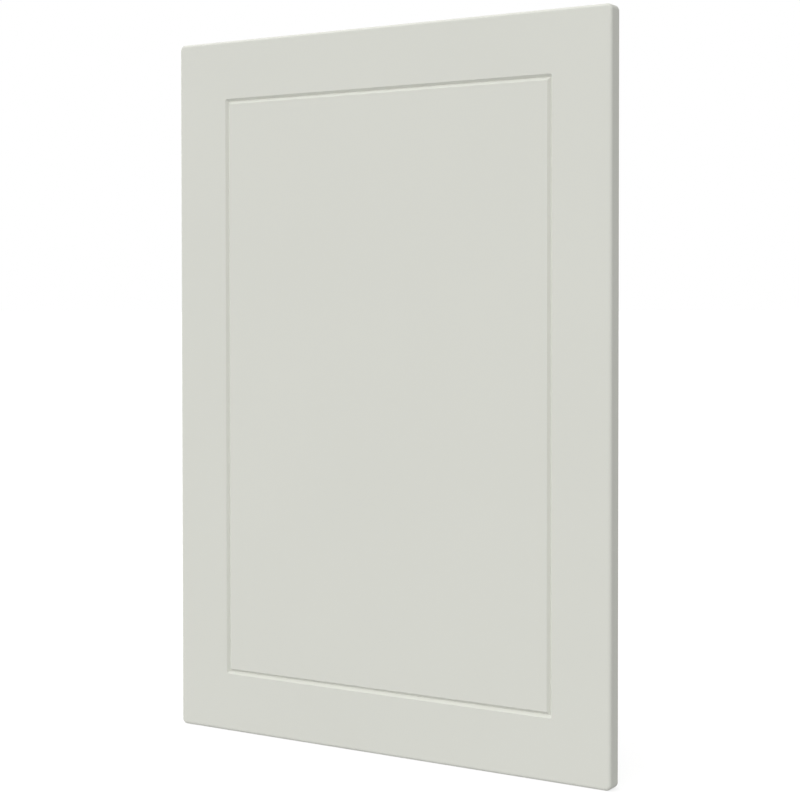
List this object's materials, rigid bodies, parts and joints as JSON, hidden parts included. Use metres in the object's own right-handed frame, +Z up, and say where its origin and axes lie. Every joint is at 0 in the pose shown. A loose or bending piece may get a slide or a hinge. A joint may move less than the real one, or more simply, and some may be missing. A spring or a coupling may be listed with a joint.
{
  "type": "kitchen cabinet door",
  "caption": "Flat one-piece cabinet door with rounded edges, a V-groove that draws a frame on its face, and cup hinge bores with screw holes in its back.",
  "frame": {"origin": "at the lower edge, halfway along the width and below the middle of the thickness", "axes": "+X to the right of someone who looks at the face, +Y out of the back, +Z up; the face looks along -Y"},
  "size_m": [0.497, 0.018, 0.715],
  "materials": {
    "painted_board": "matte"
  },
  "bodies": {
    "root": {"door_panel": "painted_board"}
  },
  "joints": []
}
